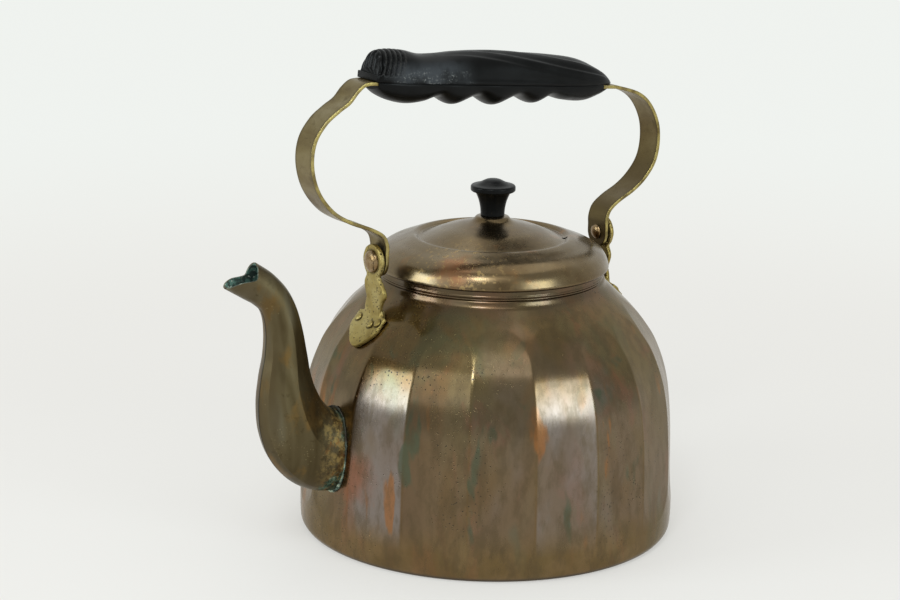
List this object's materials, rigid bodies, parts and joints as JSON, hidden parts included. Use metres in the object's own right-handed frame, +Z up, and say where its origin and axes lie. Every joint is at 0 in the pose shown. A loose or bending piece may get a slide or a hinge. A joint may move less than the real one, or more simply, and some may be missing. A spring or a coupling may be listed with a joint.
{
  "type": "kettle",
  "caption": "Round-bodied kettle with a fluted copper wall, curved brass spout, swinging strap handle with a black grip and a lift-off domed lid with a turned knob.",
  "frame": {"origin": "centre of the flat underside of the body, on the surface that the kettle stands on", "axes": "+Z up; the spout points along -X; the handle swings about an axis parallel to X"},
  "size_m": [0.2646, 0.2, 0.2615],
  "materials": {
    "body_copper": "patinated copper sheet, satin",
    "lid_copper": "patinated copper sheet, satin",
    "spout_brass": "dark patinated brass",
    "ear_brass": "cast brass with pits",
    "strap_brass": "brushed, brown patina",
    "rivet_copper": "copper, worn",
    "screw_brass": "turned brass",
    "solder": "soft solder with verdigris",
    "bakelite": "satin black, scuffed"
  },
  "bodies": {
    "kettle": {"body_shell": "body_copper", "spout_left_half": "spout_brass", "spout_right_half": "spout_brass", "spout_solder_seam": "solder", "front_ear": "ear_brass", "rear_ear": "ear_brass", "front_ear_rivets": "rivet_copper", "rear_ear_rivets": "rivet_copper", "front_pivot_rivet": "rivet_copper", "rear_pivot_rivet": "rivet_copper"},
    "bail": {"bail_strap": "strap_brass", "grip_upper_half": "bakelite", "grip_lower_half": "bakelite", "grip_screws": "screw_brass"},
    "lid": {"lid_shell": "lid_copper", "lid_collar": "lid_copper", "lid_knob": "bakelite", "knob_washer": "screw_brass", "knob_screw": "screw_brass"}
  },
  "joints": [
    {"name": "handle_swing", "type": "hinge", "parent": "kettle", "child": "bail", "pos_m": [0, 0, 0.152], "axis": [1, 0, 0], "range_deg": [-98, 98]},
    {"name": "lid_lift", "type": "slide", "parent": "kettle", "child": "lid", "axis": [0, 0, 1], "range_m": [0, 0.028]}
  ]
}
